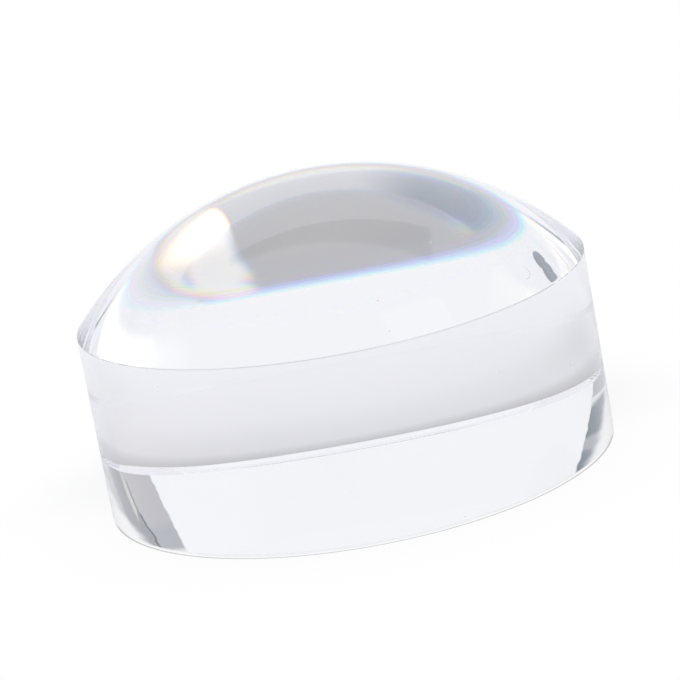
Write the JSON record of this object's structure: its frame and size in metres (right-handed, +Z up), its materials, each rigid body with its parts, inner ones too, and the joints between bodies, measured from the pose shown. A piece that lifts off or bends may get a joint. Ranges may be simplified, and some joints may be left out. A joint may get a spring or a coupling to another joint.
{
  "type": "dome magnifier",
  "caption": "One-piece clear dome magnifier: a round base with an upright polished wall under a spherical dome, which stands flat on a page and enlarges it.",
  "frame": {"origin": "centre of the flat base", "axes": "+Z up along the optical axis, through the dome's crown; the lens is turned about Z, so X and Y are alike"},
  "size_m": [0.08, 0.08, 0.048],
  "materials": {
    "clear_acrylic": "polished"
  },
  "bodies": {
    "root": {"dome_lens": "clear_acrylic"}
  },
  "joints": []
}
